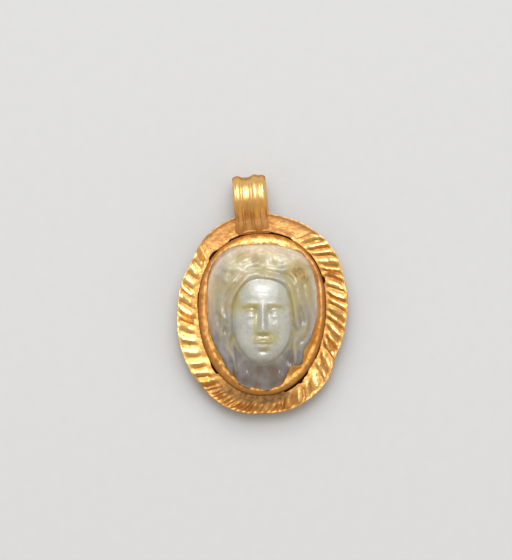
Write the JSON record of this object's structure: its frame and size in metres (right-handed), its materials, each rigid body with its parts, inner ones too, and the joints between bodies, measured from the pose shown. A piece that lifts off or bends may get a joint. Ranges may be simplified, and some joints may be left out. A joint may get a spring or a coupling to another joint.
{
  "type": "agate cameo pendant",
  "caption": "Oval carved stone with a head in high relief, held by a gold collet in a hand-fluted gold border with a ribbed bail, lying face up.",
  "frame": {"origin": "on the flat back, under the middle of the oval stone", "axes": "+Z out of the carved face, +Y from the stone towards the bail, +X to the viewer's right"},
  "size_m": [0.0215, 0.03, 0.0081],
  "materials": {
    "agate": "polished, waxy, milky, stained in the recesses",
    "collet_gold": "burnished high-carat gold, softly worn",
    "border_gold": "hammered high-carat gold, worn bright on the ribs, red-brown in the creases"
  },
  "bodies": {
    "root": {"cameo": "agate", "bezel": "collet_gold", "border_with_bail": "border_gold"}
  },
  "joints": []
}
